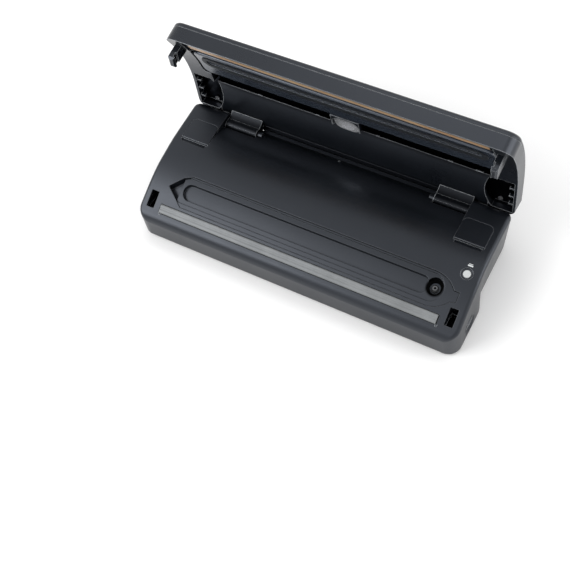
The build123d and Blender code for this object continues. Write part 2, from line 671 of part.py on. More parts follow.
# ---- release buttons with their latch catches ---------------------------------------
HOOK_W = 7.0                    # hook thickness along X
HOOK_IN = LATCH_X - HOOK_W / 2
CATCH_Z = 29.5
CATCH_T = 3.0
CATCH_GAP = 0.4                 # catch lip clear of the hook's path
CAP_FACE = HALF + 0.6
PAD_FACE = HALF - 6.5           # inner face of the thick pad
for side, name in ((-1, "left_release_button"), (1, "right_release_button")):
    with BuildPart() as release_button:
        with BuildSketch(Plane.YZ.offset(side * (PAD_FACE - 3))):
            with Locations((RELEASE_Y, RELEASE_Z)):
                SlotOverall(RELEASE_L, RELEASE_H)
        extrude(amount=side * (CAP_FACE - PAD_FACE + 3))
        outer_face = release_button.faces().sort_by(Axis.X)[0 if side < 0 else -1]
        fillet(outer_face.edges(), 1.0)
        # flange that keeps the cap in the wall
        with Locations((side * (PAD_FACE - 1.6), RELEASE_Y, RELEASE_Z)):
            Box(2, RELEASE_L + 4, RELEASE_H + 4)
        # web up to the catch, which passes behind the hook and turns in front of its notch
        with Locations((side * 174, RELEASE_Y, (RELEASE_Z - 5 + CATCH_Z + CATCH_T) / 2)):
            Box(4, 9, CATCH_Z + CATCH_T - RELEASE_Z + 5)
        with Locations((side * (161 + 176) / 2, RELEASE_Y, CATCH_Z + CATCH_T / 2)):
            Box(15, 9, CATCH_T)
        lip = HOOK_IN - CATCH_GAP
        with Locations((side * (161 + lip) / 2, (RELEASE_Y + 4.5 - 56.5) / 2, CATCH_Z + CATCH_T / 2)):
            Box(lip - 161, RELEASE_Y + 4.5 + 56.5, CATCH_T)
    save(release_button.part, name)

for side, name in ((-1, "left_release_spring"), (1, "right_release_spring")):
    seat = Plane((side * (SPRING_BACK + 0.8), RELEASE_Y, RELEASE_Z), x_dir=(0, 1, 0),
                 z_dir=(side, 0, 0))
    save(spring(seat, 7.6, 3.0, 0.4, 4), name)

# ---- lid, drawn shut ----------------------------------------------------------------
LID_WALL = 3.0
LID_HALF = HALF
LID_FRONT_Y = -72.5             # front of the rim
LID_BACK_Y = 62.0               # back of the rim
LID_FRONT_Z = 35.6              # height of the rim at those two places
LID_BACK_Z = 64.0
LEAN = 0.19                     # front and rear walls lean outwards with height
PART_LINE = 17.0                # cover above, frame below
SEAM = 0.15                     # half of the gap in the parting line
SKIN = 2.4                      # floor of the frame
TOP_R = 4.5
LIP_FROM = 60.5                 # rear lip of the frame, along Y
LIP_TO = 67.5
LIP_T = 1.6
LIP_HALF = 174.0


def lid_outline(z, inset=0.0):
    """Plan of the lid at height z, `inset` inside the outside."""
    half = LID_HALF - inset
    front = LID_FRONT_Y - LEAN * (z - LID_FRONT_Z) + inset
    back = LID_BACK_Y + LEAN * (z - LID_BACK_Z) - inset
    front_r = FRONT_CORNER - inset
    rear_r = REAR_CORNER - inset
    with BuildSketch(Plane.XY.offset(z)) as area:
        with BuildLine():
            Line((0, front), (half - front_r, front))
            RadiusArc((half - front_r, front), (half, front + front_r), -front_r)
            Line((half, front + front_r), (half, back - rear_r))
            RadiusArc((half, back - rear_r), (half - rear_r, back), -rear_r)
            Line((half - rear_r, back), (0, back))
            mirror(about=Plane.YZ)
        make_face()
    return area.sketch


def lid_layer(low, high, inset=0.0):
    """The lid between two heights above the deck line."""
    with BuildPart() as layer:
        loft([lid_outline(20, inset), lid_outline(95, inset)])
        extrude(under(high), amount=LENGTH, both=True, mode=Mode.INTERSECT)
        extrude(under(low), amount=LENGTH, both=True, mode=Mode.SUBTRACT)
    return layer.part


def box_plan(x0, x1, y0, y1, radius=0.0):
    """Rectangle in plan between two corners."""
    with BuildSketch() as area:
        with Locations(((x0 + x1) / 2, (y0 + y1) / 2)):
            if radius:
                RectangleRounded(x1 - x0, y1 - y0, radius)
            else:
                Rectangle(x1 - x0, y1 - y0)
    return area.sketch


def grown(plan, amount):
    with BuildSketch() as area:
        offset(plan, amount=amount)
    return area.sketch


PANEL_FRONT = 13.8
PANEL_BACK = 59.4
PANEL_FRONT_Z = deck_z(PANEL_FRONT) + 5.7
PANEL_BACK_Z = DECK_Z + 1.5
PANEL_HALF = 156.0


def panel_body(lift=0.0):
    """Everything under the hollow inner panel of the lid."""
    with BuildPart() as body:
        with BuildSketch(Plane.YZ):
            with BuildLine():
                turn = (52, PANEL_BACK_Z + lift)
                front = (PANEL_FRONT - lift, PANEL_FRONT_Z + lift)
                TangentArc(turn, front, tangent=(-1, 0))
                Polyline(front, (front[0], 0), (PANEL_BACK + lift, 0),
                         (PANEL_BACK + lift, PANEL_BACK_Z + lift), turn)
            make_face()
        extrude(amount=PANEL_HALF + lift, both=True)
    return body.part


# openings in the lid's inner face: plan area and how deep it goes above the deck line
HEATER_H = 12.0
SEAT_H = 4.2
TRENCH_H = 13.0
DISH_H = 7.2
POCKET_H = 11.0
DISH_HALF = 15.0
DISH_CORNER = 9.0
DISH_R = 36.0                   # hollow of the dish in the middle
POCKET_RIBS = (20.9, 33.4, 45.9)        # stub ribs in each end pocket, depth along Y


def pocket_plan():
    """Bow-shaped plan of the hollow pocket at the right end of the lid."""
    with BuildSketch() as area:
        with BuildLine():
            Line((182, 8), (182, 57))
            Line((182, 57), (160, 57))
            ThreePointArc((160, 57), (151, 32.5), (160, 8))
            Line((160, 8), (182, 8))
        make_face()
    return area.sketch


lid_wells = [(box_plan(-166, 166, -69.5, -48.5), HEATER_H),
             (box_plan(-166, 166, -49.5, -3.5, 6), SEAT_H),
             (box_plan(-157, -DISH_HALF - 1, -5, PANEL_FRONT + 0.5), TRENCH_H),
             (box_plan(DISH_HALF + 1, 157, -5, PANEL_FRONT + 0.5), TRENCH_H),
             (box_plan(-DISH_HALF, DISH_HALF, -1, 19.5, DISH_CORNER), DISH_H)]
lid_wells += [(pocket_plan(), POCKET_H), (pocket_plan().mirror(Plane.YZ), POCKET_H)]
SCREW_SPOTS = [(-166.0, 14.0, POCKET_H), (166.0, 14.0, POCKET_H), (-166.0, 51.5, POCKET_H),
               (166.0, 51.5, POCKET_H), (-110.0, -59.0, HEATER_H), (0.0, -59.0, HEATER_H),
               (110.0, -59.0, HEATER_H)]
LID_BOSS_R = 3.8
HOOK_NEAR = 107.2               # hook sides are arcs about the hinge line
HOOK_FAR = 120.2
HOOK_LOW = 25.4
NECK_W = 5.0
NECK_L = 9.0

with BuildPart() as lid_hollow:
    add(lid_layer(LID_GAP + SKIN, PART_LINE, LID_WALL))
    for plan, height in lid_wells:
        add(below(grown(plan, SKIN), height + SKIN), mode=Mode.SUBTRACT)
    add(panel_body(SKIN), mode=Mode.SUBTRACT)

with BuildPart() as lid_frame:
    add(lid_layer(LID_GAP, PART_LINE - SEAM))
    add(lid_hollow.part, mode=Mode.SUBTRACT)
    for plan, height in lid_wells:
        add(below(plan, height), mode=Mode.SUBTRACT)
    add(panel_body(), mode=Mode.SUBTRACT)
    for side in SIDES:
        for y in POCKET_RIBS:
            add(slab(box_plan(*sorted((side * 176.5, side * 182.2)), y - 0.9, y + 0.9), 2.5,
                     POCKET_H + 0.5))
    # lip that hangs behind the back of the base when the lid is open
    with Locations((0, (LIP_FROM + LIP_TO) / 2, LID_BACK_Z + LIP_T / 2)):
        Box(2 * LIP_HALF, LIP_TO - LIP_FROM, LIP_T)
    # clearance holes for the screws
    for x, y, height in SCREW_SPOTS:
        with BuildSketch(deck_plane(x, y, height - 1)):
            Circle(1.5)
        extrude(amount=6, mode=Mode.SUBTRACT)
    # windows for the hook roots
    for side in SIDES:
        with BuildSketch(deck_plane(side * LATCH_X, LATCH_Y)):
            Rectangle(NECK_W + 0.1, NECK_L + 0.1)
        extrude(amount=5, mode=Mode.SUBTRACT)
        with BuildSketch(Plane.XY.offset(60)):
            with Locations((side * 173, 60.4)):
                RectangleRounded(6, 2.6, 0.6)
        extrude(amount=7, mode=Mode.SUBTRACT)
save(swing_open(lid_frame.part), "lid_frame")

PANEL_X = 96.0                  # control panel on the outside of the lid
PANEL_Y = 41.0
PLATE_W = 92.0
PLATE_L = 26.0
LID_TOP = DECK_Z + LID_H
KEY_R = 7.0
KEY_TRAVEL = 1.0
KEYS = [(PANEL_X - 30, "vacuum_button"), (PANEL_X + 30, "seal_button")]
# lip of the cover that drops inside the frame
with BuildPart() as cover_lip:
    add(lid_layer(PART_LINE - 2.4, LID_H - WALL, LID_WALL + 0.1))
    add(lid_layer(PART_LINE - 9, LID_H, LID_WALL + 1.7), mode=Mode.SUBTRACT)

with BuildPart() as lid_cover:
    add(lid_layer(LID_GAP, LID_H))
    top_edges = [e for e in lid_cover.edges() if (e @ 0.5).Z > deck_z((e @ 0.5).Y) + LID_H - 1]
    fillet(top_edges, TOP_R)
    extrude(under(PART_LINE + SEAM), amount=LENGTH, both=True, mode=Mode.SUBTRACT)
    add(lid_layer(PART_LINE - 1, LID_H - WALL, WALL + 0.4), mode=Mode.SUBTRACT)
    add(cover_lip.part)
    # screw bosses
    for x, y, height in SCREW_SPOTS:
        with BuildSketch(deck_plane(x, y, height + SKIN + 0.05)):
            Circle(LID_BOSS_R)
        extrude(amount=LID_H - height - SKIN - 1)
        with BuildSketch(deck_plane(x, y, height + SKIN)):
            Circle(1.4)
        extrude(amount=5.6, mode=Mode.SUBTRACT)
    # seat and openings for the control panel
    with Locations((PANEL_X, PANEL_Y, LID_TOP)):
        Box(PLATE_W + 0.4, PLATE_L + 0.4, 1.4, mode=Mode.SUBTRACT)
    with Locations(*[(x, PANEL_Y, LID_TOP) for x, _ in KEYS]):
        Cylinder(KEY_R + RUN_GAP, 12, mode=Mode.SUBTRACT)
    with Locations(*[(PANEL_X + 8 * i, PANEL_Y, LID_TOP) for i in (-1, 0, 1)]):
        Cylinder(1.5, 12, mode=Mode.SUBTRACT)
save(swing_open(lid_cover.part), "lid_cover")

with BuildPart() as lid_screws:
    for x, y, height in SCREW_SPOTS:
        spot = deck_plane(x, y, height - 1.75)
        with Locations(spot.location):
            add(screw(9.0, 2.8, 1.35))
save(swing_open(lid_screws.part), "lid_screws")

# ---- what is fixed to the lid's inner face ------------------------------------------
RING_Y = -31.0
with BuildSketch() as plate_plan:
    with Locations((0, -25.9)):
        RectangleRounded(330, 43.4, 9)
with BuildSketch() as ring_plan:
    with Locations((0, RING_Y)):
        SlotOverall(314, 20)
        SlotOverall(303.6, 9.6, mode=Mode.SUBTRACT)
with BuildSketch() as rib_channel_plan:
    with Locations((0, RING_Y)):
        SlotOverall(300, 7.4)
with BuildPart() as gasket_plate:
    add(slab(plate_plan.sketch, 1.2, SEAT_H - 0.05))
    rear_edge = [e for e in gasket_plate.edges().filter_by(Axis.X) if (e @ 0.5).Y > -8]
    fillet(sorted(rear_edge, key=lambda e: (e @ 0.5).Z)[:1], 2.2)
    add(slab(ring_plan.sketch, 0.0, 2.4), mode=Mode.SUBTRACT)
    add(slab(rib_channel_plan.sketch, 0.0, 2.9), mode=Mode.SUBTRACT)
    # small ribs across the channel
    for i in range(-15, 16):
        add(slab(box_plan(9.6 * i - 0.6, 9.6 * i + 0.6, RING_Y - 3.8, RING_Y + 3.8), 2.0, 3.0))
save(swing_open(gasket_plate.part), "gasket_plate")

with BuildPart() as lid_gasket:
    add(slab(ring_plan.sketch, 0.3, 2.38))
save(swing_open(lid_gasket.part), "lid_gasket")

BAR_LOW = 3.1
with BuildPart() as heat_bar:
    with BuildSketch(deck_plane(0, STRIP_Y + 0.8, BAR_LOW)):
        Rectangle(327, 13)
    extrude(amount=5.4)
    fillet(heat_bar.edges().filter_by(Axis.X).sort_by(Axis.Z)[:1], 1.2)
    for x in (-140, -60, 60, 140):
        with BuildSketch(deck_plane(x, STRIP_Y + 0.8, BAR_LOW + 5)):
            Circle(3.4)
        extrude(amount=HEATER_H - BAR_LOW - 5.05)
save(swing_open(heat_bar.part), "heat_bar")

with BuildPart() as heating_element:
    with BuildSketch(deck_plane(0, STRIP_Y, BAR_LOW - 0.26)):
        Rectangle(318, 3)
    extrude(amount=0.25)
save(swing_open(heating_element.part), "heating_element")

with BuildPart() as heater_tape:
    with BuildSketch(deck_plane(0, STRIP_Y, BAR_LOW - 0.54)):
        Rectangle(322, 8.8)
    extrude(amount=0.26)
save(swing_open(heater_tape.part), "heater_tape")

with BuildPart() as lid_dish:
    add(slab(box_plan(0.2 - DISH_HALF, DISH_HALF - 0.2, -0.8, 19.3, DISH_CORNER - 0.2), 4.2,
             DISH_H - 0.05))
    with Locations((0, 9.5, deck_z(9.5) + 5.9 - DISH_R)):
        Sphere(DISH_R, mode=Mode.SUBTRACT)
save(swing_open(lid_dish.part), "lid_dish")

NOTCH_Z = CATCH_Z - 0.9
for side, name in ((-1, "left_hook"), (1, "right_hook")):
    with BuildPart() as hook:
        with BuildSketch(Plane.YZ.offset(side * HOOK_IN)):
            with Locations((HINGE_Y, HINGE_Z)):
                Circle(HOOK_FAR)
                Circle(HOOK_NEAR, mode=Mode.SUBTRACT)
            with Locations((LATCH_Y, HOOK_LOW + 15)):
                Rectangle(40, 30, mode=Mode.INTERSECT)
        extrude(amount=side * HOOK_W)
        extrude(under(LID_GAP - 0.02), amount=LENGTH, both=True, mode=Mode.INTERSECT)
        # tapered tip
        tip = hook.faces().sort_by(Axis.Z)[0]
        chamfer(tip.edges(), 2.2, 1.4)
        # notch for the catch
        with Locations((side * (HOOK_IN + 0.9), LATCH_Y, NOTCH_Z + 2.4)):
            Box(1.9, 30, 4.8, mode=Mode.SUBTRACT)
        # neck and root inside the lid
        with BuildSketch(deck_plane(side * LATCH_X, LATCH_Y, LID_GAP - 0.1)):
            Rectangle(NECK_W, NECK_L)
        extrude(amount=SKIN + 0.2)
        with BuildSketch(deck_plane(side * LATCH_X, LATCH_Y, LID_GAP + SKIN + 0.05)):
            Rectangle(NECK_W + 2.4, NECK_L + 6)
        extrude(amount=4)
    save(swing_open(hook.part), name)

KNUCKLE_R = 6.5
ARM_TOP = 12.0                  # the arm meets the lid's rim this far from the hinge line
ARM_HOLLOW_R = 24.0             # concave front face
for side, name in ((-1, "left_hinge_arm"), (1, "right_hinge_arm")):
    with BuildPart() as hinge_arm:
        with BuildSketch(Plane.YZ.offset(side * ARM_X - ARM_W / 2)):
            with Locations((HINGE_Y, HINGE_Z)):
                Circle(KNUCKLE_R)
            with BuildLine():
                RadiusArc((HINGE_Y - 5.0, HINGE_Z - 4.2),
                          (HINGE_Y - 9.6, HINGE_Z + ARM_TOP - 0.05), -ARM_HOLLOW_R)
                Polyline((HINGE_Y - 9.6, HINGE_Z + ARM_TOP - 0.05),
                         (HINGE_Y - 0.6, HINGE_Z + ARM_TOP - 0.05),
                         (HINGE_Y + 3.0, HINGE_Z + ARM_TOP - 1.6),
                         (HINGE_Y + 6.2, HINGE_Z + 2), (HINGE_Y, HINGE_Z),
                         (HINGE_Y - 5.0, HINGE_Z - 4.2))
            make_face()
        extrude(amount=ARM_W)
        cylinder_x(side * ARM_X, HINGE_Y, HINGE_Z, PIN_R + 0.05, ARM_W + 2, Mode.SUBTRACT)
    save(swing_open(hinge_arm.part), name)

# ---- control panel on the outside of the lid ----------------------------------------
PLATE_LOW = LID_TOP - 0.68
with BuildPart() as control_panel:
    with Locations((PANEL_X, PANEL_Y, PLATE_LOW)):
        Box(PLATE_W, PLATE_L, 1.0, align=(Align.CENTER, Align.CENTER, Align.MIN))
    fillet(control_panel.edges().filter_by(Axis.Z), 4.0)
    with Locations(*[(x, PANEL_Y, LID_TOP) for x, _ in KEYS]):
        Cylinder(KEY_R + RUN_GAP, 6, mode=Mode.SUBTRACT)
    with Locations(*[(PANEL_X + 8 * i, PANEL_Y, LID_TOP) for i in (-1, 0, 1)]):
        Cylinder(1.5, 6, mode=Mode.SUBTRACT)
save(swing_open(control_panel.part), "control_panel")

with BuildPart() as indicator_lenses:
    for i in (-1, 0, 1):
        with Locations((PANEL_X + 8 * i, PANEL_Y, LID_TOP - 2.6)):
            Cylinder(1.46, 3.0, align=(Align.CENTER, Align.CENTER, Align.MIN))
save(swing_open(indicator_lenses.part), "indicator_lenses")

KEY_LOW = LID_TOP - WALL - 1.5
PANEL_BOARD_Z = KEY_LOW - KEY_TRAVEL - 2.6
with BuildPart() as panel_board:
    with Locations((PANEL_X, PANEL_Y, PANEL_BOARD_Z)):
        Box(84, 22, 1.2, align=(Align.CENTER, Align.CENTER, Align.MIN))
    # tact switches
    with Locations(*[(x, PANEL_Y, PANEL_BOARD_Z + 1.2) for x, _ in KEYS]):
        Box(6, 6, 1.0, align=(Align.CENTER, Align.CENTER, Align.MIN))
    # posts up to the cover
    with Locations(*[(PANEL_X + x, PANEL_Y, PANEL_BOARD_Z + 1.2) for x in (-14, 14)]):
        Cylinder(2, LID_TOP - WALL - PANEL_BOARD_Z - 1.25,
                 align=(Align.CENTER, Align.CENTER, Align.MIN))
save(swing_open(panel_board.part), "panel_board")

for x, name in KEYS:
    with BuildPart() as key:
        with Locations((x, PANEL_Y, KEY_LOW)):
            Cylinder(KEY_R, LID_TOP + 1.6 - KEY_LOW, align=(Align.CENTER, Align.CENTER, Align.MIN))
        fillet(key.edges().sort_by(Axis.Z)[-1], 0.8)
        with Locations((x, PANEL_Y, KEY_LOW)):
            Cylinder(KEY_R + 1.4, 1.1, align=(Align.CENTER, Align.CENTER, Align.MIN))
        # shallow thumb dish
        with Locations((x, PANEL_Y, LID_TOP + 1.2 + 30)):
            Sphere(30, mode=Mode.SUBTRACT)
    save(swing_open(key.part), name)
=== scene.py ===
"""Looks of the vacuum sealer: materials, small moulded details, studio and camera.

Metres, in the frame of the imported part: +X right, +Y to the hinge, +Z up, origin on the worktop.
"""
import json
import math

import bpy
import bmesh
from mathutils import Matrix, Vector


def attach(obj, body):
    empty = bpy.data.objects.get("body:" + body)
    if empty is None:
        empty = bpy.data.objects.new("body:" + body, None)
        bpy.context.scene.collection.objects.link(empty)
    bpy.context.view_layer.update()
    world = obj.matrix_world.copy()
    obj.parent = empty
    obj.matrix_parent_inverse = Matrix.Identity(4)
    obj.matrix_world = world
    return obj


MM = 0.001

# Cosine between the flat and the rounded normal: full edge mask, no edge mask.
EDGE_FULL, EDGE_NONE = 0.80, 0.995
BLUISH_GLOSS = (0.82, 0.88, 1.0, 1.0)
PAINTED_BOWL_SHADE = (0.002, 0.002, 0.002)

# Fades over the inside of the open lid, each from its start to its end, in metres.
HIGHLIT_ABOVE_Z = (0.059, 0.066)       # painted edge highlights show above the hinge line
HIGHLIT_PAST_X = (0.146, 0.151)        # and so do those near either end
TRENCH_BEHIND_Y = (0.0785, 0.0805)  # the hollow behind the inner face, where shade is painted near-black
TRENCH_WITHIN_X = (0.1815, 0.1825)
TRENCH_ABOVE_Z = (0.054, 0.056)
LIP_BELOW_Z = (0.053, 0.058)        # the rear lip, with painted shade where the base shades it
LIP_BEHIND_Y = (0.066, 0.069)
LIP_SHADE = 0.8
SHADE_METAL = 0.9

NOZZLE = (0.146, -0.0304, 0.047)
NOZZLE_FADE = (0.0088, 0.0108)      # distance from the nozzle at which the painted shade in the bowl ends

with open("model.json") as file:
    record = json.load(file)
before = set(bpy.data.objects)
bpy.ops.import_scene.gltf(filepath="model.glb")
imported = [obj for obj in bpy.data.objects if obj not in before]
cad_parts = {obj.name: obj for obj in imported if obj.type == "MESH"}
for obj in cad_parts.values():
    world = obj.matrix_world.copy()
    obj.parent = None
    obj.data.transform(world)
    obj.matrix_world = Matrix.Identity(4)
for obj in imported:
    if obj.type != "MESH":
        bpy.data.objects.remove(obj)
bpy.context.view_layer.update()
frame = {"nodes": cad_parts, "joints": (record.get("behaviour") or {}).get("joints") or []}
nodes = frame["nodes"]
hinge = next(j for j in frame["joints"] if j["name"] == "lid_hinge")
HINGE = Vector(hinge["pos_m"])
OPENING = math.radians(hinge["range_deg"][1])


# ---- material building --------------------------------------------------------------
class Nodes:
    """A material and short ways to add its nodes."""

    def __init__(self, name):
        self.material = bpy.data.materials.new(name)
        self.material.use_nodes = True
        self.tree = self.material.node_tree
        self.tree.nodes.clear()
        self.output = self.add("ShaderNodeOutputMaterial")
        self.shader = self.add("ShaderNodeBsdfPrincipled")
        self.link(self.shader.outputs[0], self.output.inputs["Surface"])
        self.place = self.add("ShaderNodeTexCoord").outputs["Object"]

    def add(self, kind, **values):
        node = self.tree.nodes.new(kind)
        for key, value in values.items():
            if key in node.inputs:
                node.inputs[key].default_value = value
            else:
                setattr(node, key, value)
        return node

    def link(self, source, target):
        self.tree.links.new(source, target)

    def noise(self, scale, detail=3.0, rough=0.5, stretch=(1, 1, 1)):
        """Noise over the object's own space, value 0 to 1."""
        mapping = self.add("ShaderNodeMapping", Scale=stretch)
        texture = self.add("ShaderNodeTexNoise", Scale=scale, Detail=detail, Roughness=rough)
        self.link(self.place, mapping.inputs["Vector"])
        self.link(mapping.outputs[0], texture.inputs["Vector"])
        return texture.outputs["Fac"]

    def cells(self, scale, feature="F1"):
        texture = self.add("ShaderNodeTexVoronoi", Scale=scale, feature=feature)
        self.link(self.place, texture.inputs["Vector"])
        return texture.outputs["Distance"]

    def waves(self, scale, direction="X", distortion=0.0):
        texture = self.add("ShaderNodeTexWave", Scale=scale, Distortion=distortion,
                           bands_direction=direction)
        self.link(self.place, texture.inputs["Vector"])
        return texture.outputs["Fac"]

    def span(self, value, low, high, start=0.0, end=1.0):
        """A value running from start to end, stretched to run from low to high."""
        node = self.add("ShaderNodeMapRange", **{"From Min": start, "From Max": end,
                                                 "To Min": low, "To Max": high})
        self.link(value, node.inputs["Value"])
        return node.outputs[0]

    def math(self, operation, a, b):
        node = self.add("ShaderNodeMath", operation=operation)
        for socket, value in zip(node.inputs, (a, b)):
            if isinstance(value, (int, float)):
                socket.default_value = value
            else:
                self.link(value, socket)
        return node.outputs[0]

    def mix(self, amount, first, second):
        """Colour between two, first and second being RGB triples or sockets."""
        node = self.add("ShaderNodeMix", data_type="RGBA")
        self.link(amount, node.inputs["Factor"])
        for socket, value in ((node.inputs[6], first), (node.inputs[7], second)):
            if isinstance(value, (tuple, list)):
                socket.default_value = (*value, 1)
            else:
                self.link(value, socket)
        return node.outputs[2]

    def edges(self, radius):
        """Soft mask of outer and inner edges, and the rounded normal that shows them."""
        bevel = self.add("ShaderNodeBevel", Radius=radius, samples=6)
        flat = self.add("ShaderNodeNewGeometry")
        dot = self.add("ShaderNodeVectorMath", operation="DOT_PRODUCT")
        self.link(bevel.outputs[0], dot.inputs[0])
        self.link(flat.outputs["Normal"], dot.inputs[1])
        return self.span(dot.outputs["Value"], 1.0, 0.0, EDGE_FULL, EDGE_NONE), bevel.outputs[0]

    def bumps(self, normal, *layers):
        """Stack of bump layers (height, distance in metres, strength) on a normal."""
        for height, distance, strength in layers:
            bump = self.add("ShaderNodeBump", Strength=strength, Distance=distance)
            self.link(height, bump.inputs["Height"])
            if normal is not None:
                self.link(normal, bump.inputs["Normal"])
            normal = bump.outputs[0]
        self.link(normal, self.shader.inputs["Normal"])

    def finish(self, colour, rough):
        for name, value in (("Base Color", colour), ("Roughness", rough)):
            socket = self.shader.inputs[name]
            if isinstance(value, (int, float)):
                socket.default_value = value
            elif isinstance(value, (tuple, list)):
                socket.default_value = (*value, 1)
            else:
                self.link(value, socket)
        return self.material


def shade(colour, factor):
    return tuple(min(1.0, c * factor) for c in colour)


def moulded(name, colour, rough, grain=2600.0, grain_depth=0.00002, edge_mm=0.8, edge_highlight_level=0.13,
            specular=0.62, shaded_spot=None, lid_inside=False):
    """Injection-moulded plastic: fine spark-eroded grain, slow sheen changes, edges painted paler
    as highlights.
    """
    m = Nodes(name)
    edge, rounded = m.edges(edge_mm * MM)
    cloud = m.noise(14.0, 4.0)
    fine = m.noise(grain, 2.0, 0.6)
    dust = m.span(m.noise(420.0, 5.0, 0.7), 0.0, 1.0, 0.62, 0.80)
    body = m.mix(m.span(cloud, 0.0, 1.0, 0.3, 0.7), shade(colour, 0.9), shade(colour, 1.1))
    # painted highlight: edges mixed paler, patchy along their length
    painted_edge_highlight = m.math("MULTIPLY", edge, m.span(m.noise(160.0, 4.0, 0.6), 0.55, 1.0, 0.35, 0.7))
    if lid_inside:
        # painted edge highlights are left out along the hinge line
        axes = m.add("ShaderNodeSeparateXYZ")
        m.link(m.place, axes.inputs[0])
        across = m.math("ABSOLUTE", axes.outputs[0], 0.0)
        high = m.span(axes.outputs[2], 0.0, 1.0, *HIGHLIT_ABOVE_Z)
        ends = m.span(across, 0.0, 1.0, *HIGHLIT_PAST_X)
        painted_edge_highlight = m.math("MULTIPLY", painted_edge_highlight, m.math("MAXIMUM", high, ends))
    body = m.mix(painted_edge_highlight, body, (edge_highlight_level, edge_highlight_level * 1.05, edge_highlight_level * 1.1))
    body = m.mix(m.math("MULTIPLY", dust, 0.10), body, shade(colour, 2.4))
    gloss = m.math("ADD", m.span(cloud, rough - 0.04, rough + 0.05, 0.3, 0.7),
                   m.span(fine, -0.04, 0.04))
    if lid_inside:
        # painted shade: the deep hollows of the frame and the rear lip go near-black, with metallic
        # to dim their reflection
        hollow_shade = m.span(axes.outputs[1], 0.0, 1.0, *TRENCH_BEHIND_Y)
        hollow_shade = m.math("MULTIPLY", hollow_shade, m.span(across, 1.0, 0.0, *TRENCH_WITHIN_X))
        hollow_shade = m.math("MULTIPLY", hollow_shade, m.span(axes.outputs[2], 0.0, 1.0, *TRENCH_ABOVE_Z))
        lip = m.math("MULTIPLY", m.span(axes.outputs[2], 1.0, 0.0, *LIP_BELOW_Z),
                     m.span(axes.outputs[1], 0.0, 1.0, *LIP_BEHIND_Y))
        hollow_shade = m.math("MAXIMUM", hollow_shade, m.math("MULTIPLY", lip, LIP_SHADE))
        body = m.mix(hollow_shade, body, (0.002, 0.002, 0.0025))
        m.link(m.math("MULTIPLY", hollow_shade, SHADE_METAL), m.shader.inputs["Metallic"])
    if shaded_spot:
        # painted shade: the bowl round the nozzle goes near-black and metallic, so it also loses
        # its reflection
        spot = m.add("ShaderNodeVectorMath", operation="DISTANCE")
        m.link(m.place, spot.inputs[0])
        spot.inputs[1].default_value = shaded_spot
        near = m.span(spot.outputs["Value"], 0.0, 1.0, *NOZZLE_FADE)
        body = m.mix(near, PAINTED_BOWL_SHADE, body)
        m.link(m.math("SUBTRACT", 1.0, near), m.shader.inputs["Metallic"])
    m.bumps(rounded, (fine, grain_depth, 0.35), (m.noise(60.0, 2.0), 0.00006, 0.15))
    m.shader.inputs["Specular IOR Level"].default_value = specular
    m.shader.inputs["Specular Tint"].default_value = BLUISH_GLOSS
    return m.finish(body, gloss)


def glossy(name, colour, rough=0.12, specular=0.5):
    """Polished plastic with faint hairline scratches."""
    m = Nodes(name)
    edge, rounded = m.edges(0.3 * MM)
    scratches = m.span(m.noise(900.0, 2.0, 0.5, (1, 14, 1)), 0.0, 1.0, 0.60, 0.74)
    cloud = m.noise(30.0, 3.0)
    body = m.mix(m.span(cloud, 0, 1, 0.3, 0.7), shade(colour, 0.85), shade(colour, 1.15))
    # painted highlight: edges mixed paler
    body = m.mix(m.math("MULTIPLY", edge, 0.3), body, shade(colour, 1.6))
    m.bumps(rounded, (scratches, 0.00001, 0.2))
    m.shader.inputs["Specular IOR Level"].default_value = specular
    return m.finish(body, m.math("ADD", m.math("MULTIPLY", scratches, 0.15),
                                 m.span(cloud, rough, rough + 0.08)))


def rubbery(name, colour, rough, pores=1500.0, pore_depth=0.00005, edge_mm=0.4):
    """Foam or silicone: open pores and a dry bloom."""
    m = Nodes(name)
    edge, rounded = m.edges(edge_mm * MM)
    pore = m.span(m.cells(pores), 0.0, 1.0, 0.05, 0.6)
    bloom = m.noise(45.0, 5.0, 0.65)
    body = m.mix(m.span(bloom, 0, 1, 0.35, 0.7), shade(colour, 0.82), shade(colour, 1.12))
    closed = m.math("SUBTRACT", 1.0, pore)
    body = m.mix(m.math("MULTIPLY", closed, 0.4), body, shade(colour, 0.55))
    # painted highlight: edges mixed paler
    body = m.mix(m.math("MULTIPLY", edge, 0.35), body, shade(colour, 1.35))
    m.bumps(rounded, (pore, pore_depth, 0.5), (m.noise(220.0, 3.0), 0.00003, 0.3))
    m.shader.inputs["Specular Tint"].default_value = (0.86, 0.92, 1.0, 1.0)
    return m.finish(body, m.span(bloom, rough - 0.08, rough + 0.08))


def metal(name, colour, rough, stretch=(1, 1, 1), scale=700.0):
    """Plated or drawn metal with brushing along one axis and a few dull patches."""
    m = Nodes(name)
    edge, rounded = m.edges(0.2 * MM)
    brush = m.noise(scale, 3.0, 0.6, stretch)
    patch = m.noise(60.0, 4.0, 0.6)
    body = m.mix(m.span(patch, 0, 1, 0.35, 0.75), shade(colour, 0.8), shade(colour, 1.1))
    # painted highlight: edges mixed paler
    body = m.mix(m.math("MULTIPLY", edge, 0.4), body, shade(colour, 1.3))
    m.bumps(rounded, (brush, 0.00002, 0.35))
    m.shader.inputs["Metallic"].default_value = 1.0
    return m.finish(body, m.math("ADD", m.span(brush, -0.08, 0.08),
                                 m.span(patch, rough, rough + 0.15)))


